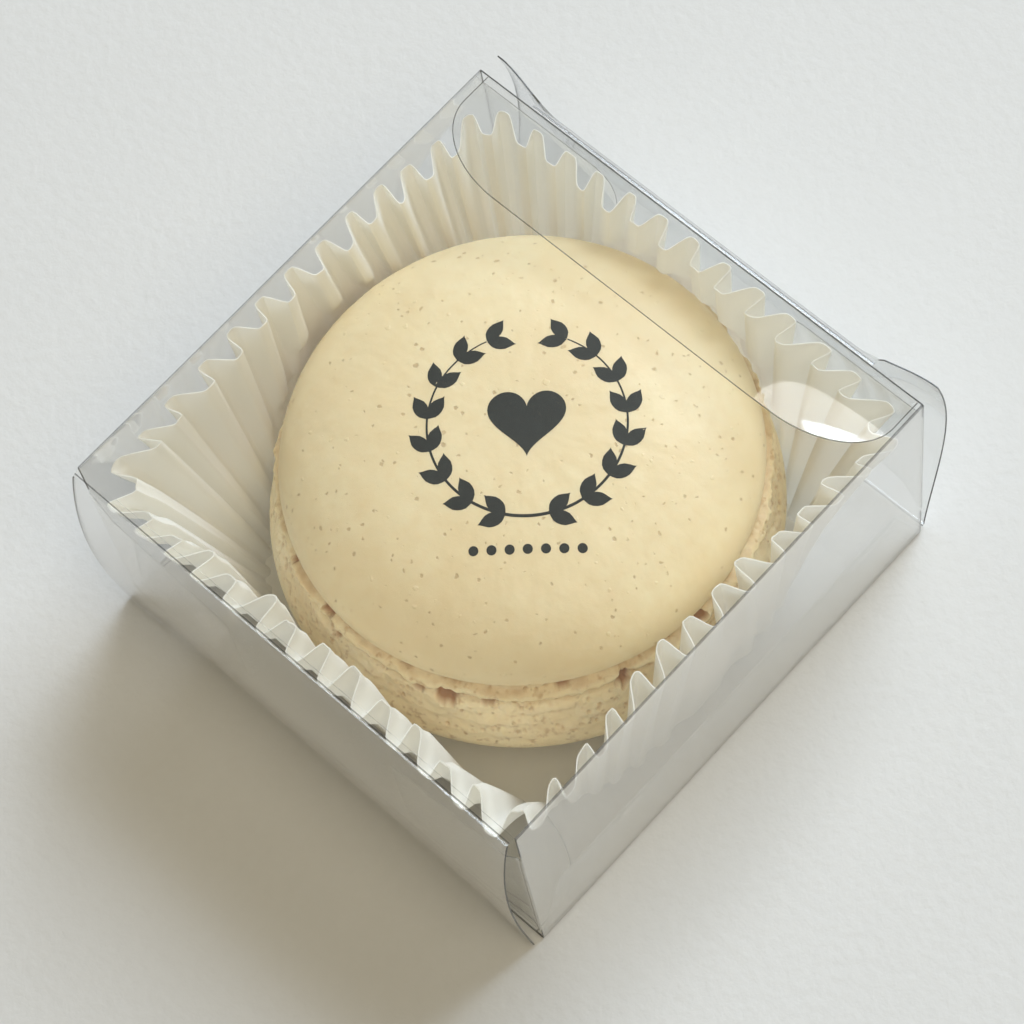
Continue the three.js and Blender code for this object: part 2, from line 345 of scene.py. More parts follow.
def edgeMaterial(name, shade, solid):  # cut edges and folds: painted shade, greyer and less clear than the sheet, standing in for the dark look that light bent in these edges gives
    material, wire = newMaterial(name)
    place = wire.add("TexCoord", output="Object")
    cloud = wire.add("TexNoise", None, {"Vector": place, "Scale": 400, "Detail": 3})
    clear = wire.add("BsdfTransparent", None, {"Color": (0.93, 0.93, 0.93, 1)})
    grey = wire.add("BsdfPrincipled", None, {
        "Base Color": wire.mixed(shade, (0.6, 0.6, 0.6, 1), cloud * 0.3), "Roughness": 0.2})
    surface(wire, wire.add("MixShader", None, {0: cloud * 0.2 + solid, 1: clear, 2: grey}))
    return material


def glueBand(wire, place):  # a pale band of glue below the tab's upper edge
    height = wire.add("SeparateXYZ", None, {"Vector": place}, "Z")
    band = wire.add("MapRange", {"interpolation_type": "SMOOTHSTEP"}, {
        "Value": height.maths("ABSOLUTE", height - filmSettings["glueHigh"]),
        "From Min": filmSettings["glueWide"], "From Max": 0.2 * mm})
    return band * filmSettings["glue"] + filmSettings["tabShine"]


film = filmMaterial("clearFilm", filmSettings["gloss"])
gluedFilm = filmMaterial("gluedFilm", 0.2, glueBand)
# painted shade: the dark greys of cut edges and folds stand in for light bent at the sheet's edges and
# bends
cutEdge = edgeMaterial("filmCutEdge", tone(46, 46, 50), 0.6)
foldLine = edgeMaterial("filmFold", tone(70, 70, 74), 0.4)
filmSlots = (film, cutEdge, foldLine, cutEdge, gluedFilm)
clearSlot, edgeSlot, foldSlot, tabSlot = 0, 1, 2, 4
rimSlots = (clearSlot + 1, foldSlot + 1)  # a rim takes the slot after its sheet's


def cutLine(piece, bare, bead):  # a fine bead round the sheet's cut edges, but not where bare is true
    uses = {}
    for face in piece.data.polygons:
        for key in face.edge_keys:
            uses[key] = uses.get(key, 0) + 1
    points = piece.data.vertices
    pick(piece, "EDGE", lambda edge: uses[edge.key] == 1 and not bare(
        (points[edge.vertices[0]].co + points[edge.vertices[1]].co) / 2))
    bpy.ops.mesh.duplicate()
    bpy.ops.mesh.separate(type="SELECTED")
    bpy.ops.object.mode_set(mode="OBJECT")
    line = next(other for other in bpy.context.selected_objects if other is not piece)
    startClean()
    line.select_set(True)
    bpy.context.view_layer.objects.active = line
    bpy.ops.object.convert(target="CURVE")
    line.data.bevel_depth = bead
    line.data.bevel_resolution = 1
    bpy.ops.object.convert(target="MESH")
    return bpy.context.object


def thicken(piece, bare):  # the rim stays clear where bare is true
    # the rims take the cut edge's or the fold's painted shade
    modify(piece, "SOLIDIFY", thickness=filmSettings["thick"], offset=0, use_even_offset=True,
           material_offset_rim=1)
    for face in piece.data.polygons:
        if face.material_index in rimSlots and bare(face.center):
            face.material_index = clearSlot


def finishFilm(piece, body, nodes=(), bare=lambda point: False, bead=filmSettings["fineBead"]):
    line = cutLine(piece, bare, bead)
    thicken(piece, bare)
    for material in filmSlots:
        piece.data.materials.append(material)
        line.data.materials.append(material)
    # the bead takes the cut edge's painted shade, a dark line along the sheet's edge
    line.data.polygons.foreach_set("material_index", [edgeSlot] * len(line.data.polygons))
    startClean()
    line.select_set(True)
    piece.select_set(True)
    bpy.context.view_layer.objects.active = piece
    bpy.ops.object.join()
    finishPiece(piece, (), body, nodes)


sleeveSettings = {
    "cuts": 22,
    "corner": 0.16 * mm, "cornerSteps": 3,
    "foldReach": 0.3 * mm,
    "wave": 0.10 * mm,
    "waveSize": 17 * mm,
}


def makeSleeve():
    print("sleeve")
    half = filmSettings["thick"] / 2
    low = tubeLow + Vector((0, half, half))
    high = tubeHigh - Vector((0, half, half))
    startClean()
    bpy.ops.mesh.primitive_cube_add(size=1, location=(low + high) / 2, scale=high - low)
    sleeve = newest("sleeveFilm")
    bpy.ops.object.transform_apply(location=True, rotation=False, scale=True)
    pick(sleeve, "FACE", lambda face: abs(face.normal.x) > 0.9)
    bpy.ops.mesh.delete(type="FACE")
    bpy.ops.mesh.select_all(action="SELECT")
    bpy.ops.mesh.subdivide(number_cuts=sleeveSettings["cuts"])
    bpy.ops.object.mode_set(mode="OBJECT")

    def atCorner(point):
        return (min(high.y - point.y, point.y - low.y) < 0.01 * mm
                and min(high.z - point.z, point.z - low.z) < 0.01 * mm)

    points = sleeve.data.vertices
    pick(sleeve, "EDGE", lambda edge: all(atCorner(points[i].co) for i in edge.vertices))
    bpy.ops.mesh.bevel(offset=sleeveSettings["corner"], segments=sleeveSettings["cornerSteps"],
                       affect="EDGES")
    bpy.ops.object.mode_set(mode="OBJECT")
    reach = sleeveSettings["corner"] * 0.95
    # the bent corners take the fold's painted shade
    for face in sleeve.data.polygons:
        centre = face.center
        if (min(high.y - centre.y, centre.y - low.y) < reach
                and min(high.z - centre.z, centre.z - low.z) < reach):
            face.material_index = foldSlot
    clouds = bpy.data.textures.new("filmWaves", "CLOUDS")
    clouds.noise_scale = sleeveSettings["waveSize"]
    modify(sleeve, "DISPLACE", texture=clouds, texture_coords="LOCAL",
           strength=sleeveSettings["wave"], mid_level=1.0)

    def folded(point):  # where an end panel or a dust flap carries on
        s = endSettings
        height = boxHeight - point.z if point.x < middleX else point.z
        return (height < sleeveSettings["foldReach"] or abs(point.y) > s["wallFold"]
                and dustSettings["foldEdge"] < height < dustSettings["farEdge"])

    finishFilm(sleeve, "carton", ["sleeve"], folded, filmSettings["bead"])


tabSettings = {"height": 8.8 * mm, "chamfer": 3.3 * mm, "gap": 0.05 * mm}


def makeGlueTab():
    half = (tubeHigh.x - tubeLow.x) / 2
    y = tubeLow.y + 1.5 * filmSettings["thick"] + tabSettings["gap"]
    foot = filmSettings["thick"] * 1.5

    def place(up, along):
        z = lerp(foot, tabSettings["height"], up)
        reach = half - tabSettings["chamfer"] * up
        return Vector((middleX + (2 * along - 1) * reach, y, z))

    tab = layGrid("glueTab", 6, 24, place)
    thicken(tab, lambda point: True)
    tab.data.polygons.foreach_set("material_index", [tabSlot] * len(tab.data.polygons))
    finishPiece(tab, filmSlots, "carton")


# The two shut ends. Both are drawn as the front end; the rear one is turned half round

frontEnd = {
    "name": "front", "side": 1,
    "bow": {"side": 2.7 * mm, "middle": 2.2 * mm, "rise": 1.25, "wave": 0.83},
}
rearEnd = {
    "name": "rear", "side": -1,
    "bow": {"side": 1.6 * mm, "middle": 1.4 * mm, "rise": 0.8, "wave": 0.93},
}
endSettings = {
    "tubeEnd": 24.75 * mm,
    "panelPlane": 25.425 * mm,
    "panelHalf": 24.7 * mm,
    "low": 0.35 * mm,
    "foldHigh": 25.2 * mm,  # where the panel starts to turn into the tuck flap
    "freeHigh": 26.1 * mm,  # its shoulders, past the slits beside that fold
    "slit": 19.2 * mm, "slitWide": 0.6 * mm,
    "freeFrom": 16.5 * mm,
    "flapPlane": 25.625 * mm,
    "flapRoot": 24.85 * mm,
    "flapHalf": 24.2 * mm,
    "flapDepth": 9 * mm,
    "cornerDepth": 5.5 * mm,
    "cornerWidth": 8.5 * mm,
    "curl": 0.6 * mm, "curlWidth": 11.7 * mm,  # the front one's free corner is bent up a little
    "dustPlane": 24.875 * mm,
    "wallFold": 24.45 * mm,
}


def atEnd(end, x, y, z):
    turned = end["side"] < 0
    return Vector((middleX + end["side"] * x, y, boxHeight - z if turned else z))


def makeEndPanel(end):
    s = endSettings
    bow = end["bow"]

    def place(up, along):
        y = (2 * along - 1) * s["panelHalf"]
        top = lerp(s["foldHigh"], s["freeHigh"], smooth(abs(y), s["slit"], s["slit"] + s["slitWide"]))
        z = lerp(s["low"], top, up)
        share = z / s["freeHigh"]
        middle = bow["middle"] * math.sin(math.pi * share)
        side = bow["side"] * math.sin(math.pi * bow["wave"] * share ** bow["rise"])
        out = lerp(middle, side, smooth(abs(y), s["freeFrom"], s["panelHalf"]))
        return atEnd(end, s["panelPlane"] + out, y, z)

    panel = layGrid(end["name"] + "Panel", 40, 80, place)
    foot = atEnd(end, 0, 0, s["low"]).z
    fold = atEnd(end, 0, 0, s["foldHigh"]).z

    def folded(point):  # where a fold strip carries on
        return (abs(point.z - foot) < 0.01 * mm
                or abs(point.z - fold) < 0.05 * mm and abs(point.y) < s["slit"])

    finishFilm(panel, end["name"] + "_panel", [end["name"] + "_end_panel"], folded,
               filmSettings["bead"])


def makeTuckFlap(end):
    s = endSettings
    tip = s["panelPlane"] - s["flapDepth"]

    def place(up, along):
        y = -s["flapHalf"] * math.cos(math.pi * along)
        past = max(0, abs(y) - (s["flapHalf"] - s["cornerWidth"])) / s["cornerWidth"]
        edge = tip + s["cornerDepth"] * (1 - math.sqrt(max(0, 1 - past * past)))
        x = lerp(edge, s["flapRoot"], up)
        across = max(0, tip + s["cornerDepth"] - x) / s["cornerDepth"]
        beside = max(0, s["curlWidth"] - s["flapHalf"] - y) / s["curlWidth"]
        curl = s["curl"] * across ** 2 * beside
        return atEnd(end, x, y, s["flapPlane"] + (curl if end["side"] > 0 else 0))

    flap = layGrid(end["name"] + "Tuck", 30, 150, place)
    root = atEnd(end, s["flapRoot"], 0, 0).x
    finishFilm(flap, end["name"] + "_tuck", [end["name"] + "_tuck_flap"],
               lambda point: abs(point.x - root) < 0.01 * mm)


dustSettings = {
    "reach": 14.8 * mm, "foldEdge": 5.2 * mm, "stepReach": 1.6 * mm, "stepEdge": 8 * mm,
    "freeEdge": 10.4 * mm, "farEdge": 23.9 * mm, "corner": 2.5 * mm,
}


def makeDustFlap(end, side, word):
    s = dustSettings

    def place(up, along):
        reach = s["reach"] * along
        if reach < s["stepReach"]:
            low = lerp(s["foldEdge"], s["stepEdge"], reach / s["stepReach"])
        else:
            low = lerp(s["stepEdge"], s["freeEdge"],
                       (reach - s["stepReach"]) / (s["reach"] - s["stepReach"]))
        past = max(0, reach - (s["reach"] - s["corner"]))
        high = s["farEdge"] - s["corner"] + math.sqrt(max(0, s["corner"] ** 2 - past ** 2))
        y = side * (endSettings["wallFold"] - reach)
        return atEnd(end, endSettings["dustPlane"], y, lerp(low, high, up))

    flap = layGrid(end["name"] + "Dust" + word.title(), 14, 37, place)
    node = "{}_dust_flap_{}".format(end["name"], word)
    finishFilm(flap, "{}_dust_{}".format(end["name"], word), [node],
               lambda point: abs(point.y - side * endSettings["wallFold"]) < 0.01 * mm,
               filmSettings["faintBead"])


foldStrip = {"rows": 8, "columns": 40, "darkRow": 4, "root": 0.05 * mm, "lift": 0.15 * mm}


def makeFold(name, start, corner, finish, along):  # a bent strip that joins two panels
    def place(up, share):
        bend = start.lerp(corner, up).lerp(corner.lerp(finish, up), up)
        return bend + along * (share - 0.5)

    strip = layGrid(name, foldStrip["rows"], foldStrip["columns"], place)
    # the middle row takes the fold's painted shade, a dark line along the bend
    for k, face in enumerate(strip.data.polygons):
        row = k // foldStrip["columns"]
        face.material_index = foldSlot if row == foldStrip["darkRow"] else clearSlot
    thicken(strip, lambda point: True)
    finishPiece(strip, filmSlots)
    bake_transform(strip)


def makeFolds(end):
    s = endSettings
    name = end["name"]
    half = filmSettings["thick"] / 2
    makeFold(
        name + "PanelFold",
        atEnd(end, s["tubeEnd"], 0, half), atEnd(end, s["panelPlane"], 0, half),
        atEnd(end, s["panelPlane"] + foldStrip["root"], 0, s["low"]),
        Vector((0, 2 * s["panelHalf"], 0)))
    makeFold(
        name + "TuckFold",
        atEnd(end, s["panelPlane"] + foldStrip["lift"], 0, s["foldHigh"]),
        atEnd(end, s["panelPlane"], 0, s["flapPlane"] + foldStrip["lift"]),
        atEnd(end, s["flapRoot"], 0, s["flapPlane"]), Vector((0, 2 * s["slit"], 0)))
    for side, word in ((1, "left"), (-1, "right")):
        wall = side * (tubeHigh.y - half)
        height = dustSettings["farEdge"] - dustSettings["foldEdge"]
        level = (dustSettings["farEdge"] + dustSettings["foldEdge"]) / 2
        makeFold(
            name + "DustFold" + word.title(),
            atEnd(end, s["tubeEnd"], wall, level), atEnd(end, s["dustPlane"], wall, level),
            atEnd(end, s["dustPlane"], side * s["wallFold"], level), Vector((0, 0, height)))


def makeEnds():
    for end in (frontEnd, rearEnd):
        print(end["name"] + " end")
        makeEndPanel(end)
        makeTuckFlap(end)
        for side, word in ((1, "left"), (-1, "right")):
            makeDustFlap(end, side, word)
        makeFolds(end)


# Macaron

topSettings = {
    "centre": Vector((2.3 * mm + middleX, 0.45 * mm, 0)),
    "radius": 20.8 * mm, "seam": 15.5 * mm, "rim": 17.8 * mm, "pole": 24.9 * mm, "fullness": 2.6,
    # the foot's radius at shares of the way from the seam to the rim
    "side": ((0, 20.7), (0.1, 21.3), (0.3, 21.45), (0.45, 21.3), (0.6, 20.6), (0.88, 20.25),
             (1, 20.75)),
    "rough": ((0, 0.7), (0.1, 1), (0.85, 1), (1, 0)),
    "pores": (0.45, 0.98), "groove": 0.5,
    "domeRings": 46, "footRings": 26,
}
bottomSettings = {
    "centre": Vector((1.9 * mm + middleX, 0.5 * mm, 0)),
    "radius": 22.6 * mm, "seam": 14.2 * mm, "rim": 9 * mm, "pole": 2.0 * mm, "fullness": 2.6,
    "side": ((0, 20.7), (0.05, 21.15), (0.2, 21.4), (0.45, 21.85), (0.75, 22.35), (1, 22.6)),
    "rough": ((0, 0.5), (0.08, 1), (0.4, 0.75), (0.8, 0.3), (1, 0)),
    "pores": (0.02, 0.8), "groove": 0.12,
    "domeRings": 30, "footRings": 30,
}
crumbSettings = {
    "segments": 960,
    "ruffle": 0.25 * mm,
    "lump": 0.27 * mm, "lumpSize": 1.25 * mm,
    "pore": 0.36 * mm, "poreSize": 0.66 * mm,
    "cave": 1.1 * mm,
    # brown cavities: the angle in degrees, the height, half the width, half the height
    "caves": ((-155.2, 14.9, 1.3, 1.5), (-161.7, 14.9, 0.8, 1.1), (-145.2, 14.9, 0.85, 1.0),
              (-113.4, 15.2, 1.1, 1.6), (171, 16.6, 0.7, 0.9), (174.5, 14.9, 0.5, 1.2),
              (155.5, 16.9, 0.4, 0.9), (-153.4, 17.1, 1.0, 0.3), (-165, 17.1, 0.7, 0.35),
              (-128, 16.9, 0.8, 0.35), (-92, 16.4, 0.7, 0.5), (-60, 15, 0.9, 1.2),
              (-30, 16.4, 0.7, 0.6), (8, 15, 0.8, 1.1), (60, 15.1, 1.1, 1.3),
              (100, 16.6, 0.7, 0.6), (130, 15, 0.8, 1.1)),
    "footFrom": 19.8 * mm, "footFull": 20.5 * mm,
    "skin": 0.05 * mm, "skinSize": 2.5 * mm, "skinFrom": 1.02, "skinFull": 1.3,
}


def ruffle(angle, height):  # the foot's uneven waves, from -1 to 1; height in millimetres
    coarse = math.sin(11 * angle + 0.9 * height)
    fine = math.sin(19 * angle - 1.4 * height + 2)
    slow = math.sin(5 * angle + 1.1)
    return 0.45 * coarse + 0.35 * fine + 0.2 * slow


def hollow(angle, z, radius, ragged):  # how deep inside a cavity a place is, 0 to 1
    deepest = 0
    for turn, height, wide, tall in crumbSettings["caves"]:
        along = math.remainder(angle - math.radians(turn), 2 * math.pi) * radius / (wide * mm)
        above = (z - height * mm) / (tall * mm)
        deepest = max(deepest, 1 - smooth(math.hypot(along, above) + ragged, 0.7, 1.0))
    return deepest


def between(stops, share):  # the value of a broken line, eased from stop to stop
    for (near, value), (far, other) in zip(stops, stops[1:]):
        if share <= far:
            return lerp(value, other, smooth(share, near, far))
    return stops[-1][1]


def shellProfile(s):  # from the middle of the seam round the foot and over the dome
    points = [(0, s["seam"]), (17 * mm, s["seam"]), (20 * mm, s["seam"])]
    for k in range(s["footRings"]):
        share = k / s["footRings"]
        points.append((between(s["side"], share) * mm, lerp(s["seam"], s["rim"], share)))
    for k in range(s["domeRings"]):
        share = math.sin(k / s["domeRings"] * math.pi / 2)
        radius = s["radius"] * (1 - share ** 2) ** (1 / s["fullness"])
        points.append((radius, lerp(s["rim"], s["pole"], share)))
    points.append((0, s["pole"]))
    return [Vector((radius, 0, z)) for radius, z in points]


def spinShell(name, s):
    startClean()
    profile = shellProfile(s)
    bpy.ops.mesh.primitive_plane_add(size=mm, location=(0, 0, 0))
    shell = newest(name)
    bpy.ops.object.mode_set(mode="EDIT")
    bpy.ops.mesh.select_mode(type="VERT")
    bpy.ops.mesh.select_all(action="SELECT")
    bpy.ops.mesh.merge(type="CENTER")
    bpy.ops.transform.translate(value=profile[0])
    for here, there in zip(profile, profile[1:]):
        bpy.ops.mesh.extrude_region_move(TRANSFORM_OT_translate={"value": there - here})
    bpy.ops.object.mode_set(mode="OBJECT")
    steps = crumbSettings["segments"]
    modify(shell, "SCREW", axis="Z", angle=2 * math.pi, screw_offset=0, steps=steps,
           render_steps=steps, use_merge_vertices=True, merge_threshold=0.0005 * mm)
    weld(shell, outward=True)
    return shell


def crumble(shell, s, seed):  # raises ruffles and opens pores round the foot
    c = crumbSettings
    pits = shell.data.attributes.new("pit", "FLOAT", "POINT")
    caves = shell.data.attributes.new("cave", "FLOAT", "POINT")
    shift = Vector((seed, 0, 0))
    depths = []
    browns = []
    for vertex in shell.data.vertices:
        point = vertex.co
        radius = math.hypot(point.x, point.y)
        outward = Vector((point.x, point.y, 0)).normalized()
        level = (point.z - s["seam"]) / (s["rim"] - s["seam"])
        pit = cave = 0
        if radius > c["footFrom"] and level < c["skinFrom"]:
            rough = between(s["rough"], max(0, level))
            rough *= smooth(radius, c["footFrom"], c["footFull"])
            lump = noise.fractal(point / c["lumpSize"] + shift, 0.8, 2.0, 3)
            low, high = s["pores"]
            distances, _ = noise.voronoi(point / c["poreSize"] + shift)
            chance = noise.noise(point / (2.2 * mm) + shift * 2)
            pit = (1 - smooth(distances[0], 0.12, 0.42)) * smooth(chance, -0.25, 0.2)
            within = smooth(level, low - 0.08, low + 0.08) * (1 - smooth(level, high - 0.1, high))
            pit = within * max(pit, s["groove"] * (0.6 + lump))
            angle = math.atan2(point.y, point.x)
            ragged = 0.25 * noise.noise(point / (0.5 * mm) + shift)
            cave = hollow(angle, point.z, radius, ragged)
            vertex.co += outward * (
                rough * (c["ruffle"] * ruffle(angle, point.z / mm) + c["lump"] * lump)
                - c["pore"] * pit - c["cave"] * cave)
        elif level >= c["skinFrom"]:
            skin = noise.fractal(point / c["skinSize"] + shift, 0.7, 2.0, 3)
            vertex.co.z += c["skin"] * skin * smooth(level, c["skinFrom"], c["skinFull"])
        vertex.co += s["centre"]
        depths.append(pit)
        browns.append(cave)
    pits.data.foreach_set("value", depths)
    caves.data.foreach_set("value", browns)


shellTones = {
    "dome": tone(243, 229, 191), "domeWarm": tone(235, 213, 168), "speck": tone(176, 146, 104),
    "pore": tone(188, 148, 98), "cave": tone(178, 130, 82),
    "base": tone(255, 244, 212), "baseWarm": tone(250, 228, 184),
}


def dots(wire, place, scale, least):  # scattered round dots of uneven size
    warp = wire.add("TexNoise", None, {"Vector": place, "Scale": 1600, "Detail": 3}, "Color")
    moved = wire.add("VectorMath", {"operation": "MULTIPLY_ADD"}, {
        0: warp, 1: (0.6 * mm,) * 3, 2: place})
    cell = {"Vector": moved, "Scale": scale}
    near = wire.add("TexVoronoi", None, cell, "Distance")
    size = wire.add("TexVoronoi", None, cell, "Color")
    edge = wire.maths("MULTIPLY", size * 0.55 - least - near, 9)
    return wire.maths("MAXIMUM", wire.maths("MINIMUM", edge, 1), 0)


def shellMaterial(name, skin, warm):
    material, wire = newMaterial(name)
    place = wire.add("TexCoord", output="Object")
    broad = wire.add("TexNoise", None, {"Vector": place, "Scale": 110, "Detail": 3})
    colour = wire.mixed(skin, warm, broad.maths("MULTIPLY_ADD", broad, 1.6, -0.4))
    speck = dots(wire, place, 1300, 0.2)
    colour = wire.mixed(colour, shellTones["speck"], speck * 0.6)
    fine = wire.add("TexNoise", None, {"Vector": place, "Scale": 700, "Detail": 5, "Roughness": 0.7})
    colour = wire.mixed(colour, warm, fine.maths("MULTIPLY_ADD", fine, 2.4, -1.0) * 0.8)
    level = wire.add("SeparateXYZ", None, {"Vector": place}, "Z")
    foot = wire.add("MapRange", None, {
        "Value": level, "From Min": topSettings["rim"] + 0.1 * mm,
        "From Max": topSettings["rim"] - 0.5 * mm})
    crumb = wire.add("TexNoise", None, {"Vector": place, "Scale": 1100, "Detail": 4, "Roughness": 0.65})
    holes = wire.maths("MAXIMUM", wire.maths("MINIMUM", crumb * 9 - 5.1, 1), 0) * foot
    colour = wire.mixed(colour, shellTones["pore"], holes * 0.55)
    pit = wire.add("Attribute", {"attribute_name": "pit"}, None, "Fac")
    cave = wire.add("Attribute", {"attribute_name": "cave"}, None, "Fac")
    colour = wire.mixed(colour, shellTones["pore"], pit * 0.8)
    colour = wire.mixed(colour, shellTones["cave"], cave.maths("MINIMUM", cave * 1.8, 1))
    grain = wire.add("TexNoise", None, {"Vector": place, "Scale": 2200, "Detail": 4})
    bumps = wire.add("TexNoise", None, {"Vector": place, "Scale": 620, "Detail": 2})
    blobs = dots(wire, place, 900, 0.24)
    height = grain * 0.25 + bumps ** 3 * 0.8 + blobs * 0.5 - speck * 0.5
    height = height + crumb * foot * 1.6 - holes * 1.2
    bump = wire.add("Bump", None, {"Height": height, "Strength": 0.5, "Distance": 0.14 * mm})
    surface(wire, wire.add("BsdfPrincipled", None, {
        "Base Color": colour, "Roughness": 0.48, "Normal": bump,
        "Subsurface Weight": 0.25, "Subsurface Radius": (1.0, 0.8, 0.55),
        "Subsurface Scale": 1.0 * mm,
        "Specular IOR Level": 0.5}))
    return material


fillingSettings = {
    "centre": Vector((2.1 * mm + middleX, 0.5 * mm, 0)),
    "radius": 20.5 * mm, "low": 14.25 * mm, "high": 15.45 * mm,
    "caveHeight": 14.9 * mm, "swell": 0.25 * mm, "swellSize": 1.4 * mm,
}


def fillingMaterial():
    material, wire = newMaterial("fillingCream")
    place = wire.add("TexCoord", output="Object")
    blot = wire.add("TexNoise", None, {"Vector": place, "Scale": 350, "Detail": 4})
    colour = wire.mixed(tone(190, 140, 92), tone(226, 196, 150), blot)
    bump = wire.add("Bump", None, {"Height": blot, "Strength": 0.5, "Distance": 0.2 * mm})
    surface(wire, wire.add("BsdfPrincipled", None, {
        "Base Color": colour, "Roughness": 0.5, "Normal": bump}))
    return material


def makeFilling():
    s = fillingSettings
    startClean()
    bpy.ops.mesh.primitive_cylinder_add(
        vertices=240, radius=s["radius"], depth=s["high"] - s["low"],
        location=s["centre"] + Vector((0, 0, (s["high"] + s["low"]) / 2)))
    filling = newest("fillingLayer")
    bpy.ops.object.transform_apply(location=True)
    pick(filling, "FACE", lambda face: abs(face.normal.z) < 0.5)
    bpy.ops.mesh.subdivide(number_cuts=3)
    bpy.ops.object.mode_set(mode="OBJECT")
    for vertex in filling.data.vertices:
        away = vertex.co - s["centre"]
        angle = math.atan2(away.y, away.x)
        swell = crumbSettings["ruffle"] * ruffle(angle, s["low"] / mm)
        swell += s["swell"] * noise.noise(vertex.co / s["swellSize"])
        swell -= crumbSettings["cave"] * hollow(angle, s["caveHeight"], s["radius"], 0)
        vertex.co += Vector((math.cos(angle), math.sin(angle), 0)) * swell
    finishPiece(filling, [fillingMaterial()], "carton", ["filling"])


def makeMacaron():
    print("macaron")
    top = spinShell("topShell", topSettings)
    crumble(top, topSettings, 3.1)
    topSkin = shellMaterial("macaronTop", shellTones["dome"], shellTones["domeWarm"])
    finishPiece(top, [topSkin], "carton", ["top_shell"])
    bottom = spinShell("bottomShell", bottomSettings)
    crumble(bottom, bottomSettings, 8.7)
    bottomSkin = shellMaterial("macaronBottom", shellTones["base"], shellTones["baseWarm"])
    finishPiece(bottom, [bottomSkin], "carton", ["bottom_shell"])
    makeFilling()
    return top


# Printed ornament on the dome: a laurel wreath round a heart, over a row of dots

printSettings = {
    "centre": Vector((3.0 * mm + middleX, -0.4 * mm, 0)),
    "turn": math.radians(-47.3),  # so that it is upright in the photograph's view
    "wreath": 8.4 * mm,
    "leafLength": 2.5 * mm, "leafWidth": 0.95 * mm,
    "pairs": 8, "first": math.radians(12), "opening": math.radians(24), "lean": 0.55,
    "stem": 0.28 * mm,
    "heart": 3.3 * mm,
    "rowDrop": 11.2 * mm, "rowStep": 1.5 * mm, "dots": 7, "dot": 0.42 * mm,
    "lift": 0.012 * mm, "thick": 0.01 * mm,
}


def printMaterial():
    material, wire = newMaterial("foodPrint")
    place = wire.add("TexCoord", output="Object")
    mottle = wire.add("TexNoise", None, {"Vector": place, "Scale": 1800, "Detail": 3})
    colour = wire.mixed(tone(14, 22, 23), tone(38, 46, 45), mottle)
    surface(wire, wire.add("BsdfPrincipled", None, {
        "Base Color": colour, "Roughness": 0.6, "Specular IOR Level": 0.2}))
    return material


def addDisc(name, sides, shape, rings):  # a flat shape of rings, drawn in the plane z = 0
    startClean()
    bpy.ops.mesh.primitive_circle_add(vertices=sides, radius=1, fill_type="NOTHING")
    piece = newest(name)
    bpy.ops.object.mode_set(mode="EDIT")
    bpy.ops.mesh.select_all(action="SELECT")
    for k in range(rings, 1, -1):
        bpy.ops.mesh.extrude_edges_move()
        bpy.ops.transform.resize(value=((k - 1) / k,) * 3, center_override=(0, 0, 0))
    bpy.ops.mesh.edge_face_add()
    bpy.ops.mesh.poke()
    bpy.ops.object.mode_set(mode="OBJECT")
    for vertex in piece.data.vertices:
        radius = math.hypot(vertex.co.x, vertex.co.y)
        vertex.co = shape(math.atan2(vertex.co.y, vertex.co.x)) * radius
    return piece


def placedCopy(piece, turn, place):
    twin = piece.copy()
    twin.data = piece.data.copy()
    scene.collection.objects.link(twin)
    twin.data.transform(Matrix.Translation(place) @ Matrix.Rotation(turn, 4, "Z"))
    return twin


def leafOutline(angle):
    s = printSettings
    along = math.cos(angle)
    wide = math.sin(angle) * (1 - 0.55 * along * abs(along)) * (1 - abs(along) ** 3)
    return Vector((along * s["leafLength"] / 2, wide * s["leafWidth"] / 2 * 1.3, 0))


def heartOutline(angle):
    s = printSettings
    across = math.sin(angle) ** 3
    tall = (13 * math.cos(angle) - 5 * math.cos(2 * angle) - 2 * math.cos(3 * angle)
            - math.cos(4 * angle)) / 16
    return Vector((across, tall + 0.1, 0)) * s["heart"]


def makePrint(dome):
    print("print")
    s = printSettings
    leaf = addDisc("leaf", 20, leafOutline, 2)
    marks = []
    for side in (1, -1):
        for k in range(s["pairs"]):
            sweep = lerp(s["first"], math.pi - s["opening"], k / (s["pairs"] - 1))
            angle = -math.pi / 2 + side * sweep
            onStem = Vector((math.cos(angle), math.sin(angle), 0)) * s["wreath"]
            forward = angle + side * math.pi / 2
            for lean in (s["lean"], -s["lean"]):
                turn = forward + lean
                reach = Vector((math.cos(turn), math.sin(turn), 0)) * s["leafLength"] * 0.52
                marks.append(placedCopy(leaf, turn, onStem + reach))
    bpy.data.objects.remove(leaf)
    marks.append(addDisc("heart", 72, heartOutline, 9))
    dot = addDisc("dot", 20, lambda a: Vector((math.cos(a), math.sin(a), 0)) * s["dot"], 2)
    for k in range(s["dots"]):
        across = (k - (s["dots"] - 1) / 2) * s["rowStep"]
        marks.append(placedCopy(dot, 0, Vector((across, -s["rowDrop"], 0))))
    bpy.data.objects.remove(dot)
    for side in (1, -1):
        marks.append(makeStem(side))
    startClean()
    for mark in marks:
        mark.select_set(True)
    bpy.context.view_layer.objects.active = marks[0]
    bpy.ops.object.join()
    ornament = newest("printedOrnament")
    over = s["centre"] + Vector((0, 0, topSettings["pole"] + mm))
    ornament.data.transform(Matrix.Translation(over) @ Matrix.Rotation(s["turn"], 4, "Z"))
    modify(ornament, "SHRINKWRAP", target=dome, wrap_method="PROJECT", use_project_z=True,
           use_negative_direction=True, use_positive_direction=False, offset=s["lift"])
    modify(ornament, "SOLIDIFY", thickness=s["thick"], offset=-1)
    finishPiece(ornament, [printMaterial()], "carton")


